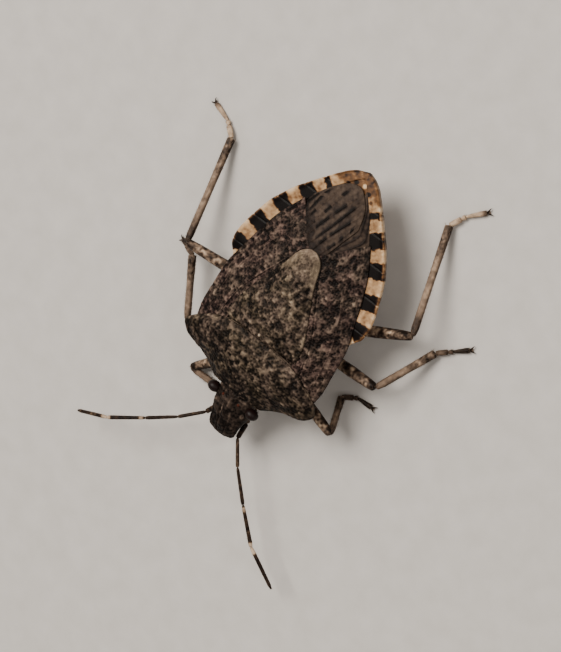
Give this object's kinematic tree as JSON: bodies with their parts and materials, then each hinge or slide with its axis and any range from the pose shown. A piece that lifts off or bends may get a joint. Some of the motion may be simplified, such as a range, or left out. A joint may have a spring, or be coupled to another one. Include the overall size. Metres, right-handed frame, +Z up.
{
  "type": "shield bug model",
  "caption": "Life-size still model of a mottled brown shield bug standing on the floor, with banded feelers and a banded rim round the abdomen.",
  "frame": {"origin": "middle of the base of the bounding box, on the floor under the bug", "axes": "+Z up from the floor, +Y towards the tail, +X towards the bug's own left side; the head points along -Y"},
  "size_m": [0.0192, 0.0228, 0.0047],
  "materials": {
    "dark_cuticle": "satin, nearly black horny shell with fine pits",
    "mottled_cuticle": "satin, olive-brown horny shell, densely pitted and speckled",
    "corium": "satin, purplish-brown leathery wing, pitted and speckled",
    "membrane": "soft sheen, smoky brown wing membrane with darker veins",
    "banded_rim": "satin, black and orange-cream bands round the edge",
    "eye": "glossy dark red-black",
    "leg": "satin, mottled brown and cream",
    "antenna": "satin, dark brown with pale bands"
  },
  "bodies": {
    "root": {"abdomen": "banded_rim", "antenna_left_fourth": "antenna", "antenna_left_middle": "antenna", "antenna_left_pedicel": "antenna", "antenna_left_scape": "antenna", "antenna_left_tip": "antenna", "antenna_right_fourth": "antenna", "antenna_right_middle": "antenna", "antenna_right_pedicel": "antenna", "antenna_right_scape": "antenna", "antenna_right_tip": "antenna", "corium_left": "corium", "corium_right": "corium", "eye_left": "eye", "eye_right": "eye", "head": "dark_cuticle", "leg_front_left_femur": "leg", "leg_front_left_tarsus": "leg", "leg_front_left_tibia": "leg", "leg_front_right_femur": "leg", "leg_front_right_tarsus": "leg", "leg_front_right_tibia": "leg", "leg_hind_left_femur": "leg", "leg_hind_left_tarsus": "leg", "leg_hind_left_tibia": "leg", "leg_hind_right_femur": "leg", "leg_hind_right_tarsus": "leg", "leg_hind_right_tibia": "leg", "leg_middle_left_femur": "leg", "leg_middle_left_tarsus": "leg", "leg_middle_left_tibia": "leg", "leg_middle_right_femur": "leg", "leg_middle_right_tarsus": "leg", "leg_middle_right_tibia": "leg", "membrane_left": "membrane", "membrane_right": "membrane", "pronotum": "mottled_cuticle", "rostrum": "leg", "scutellum": "mottled_cuticle", "thorax": "mottled_cuticle"}
  },
  "joints": []
}
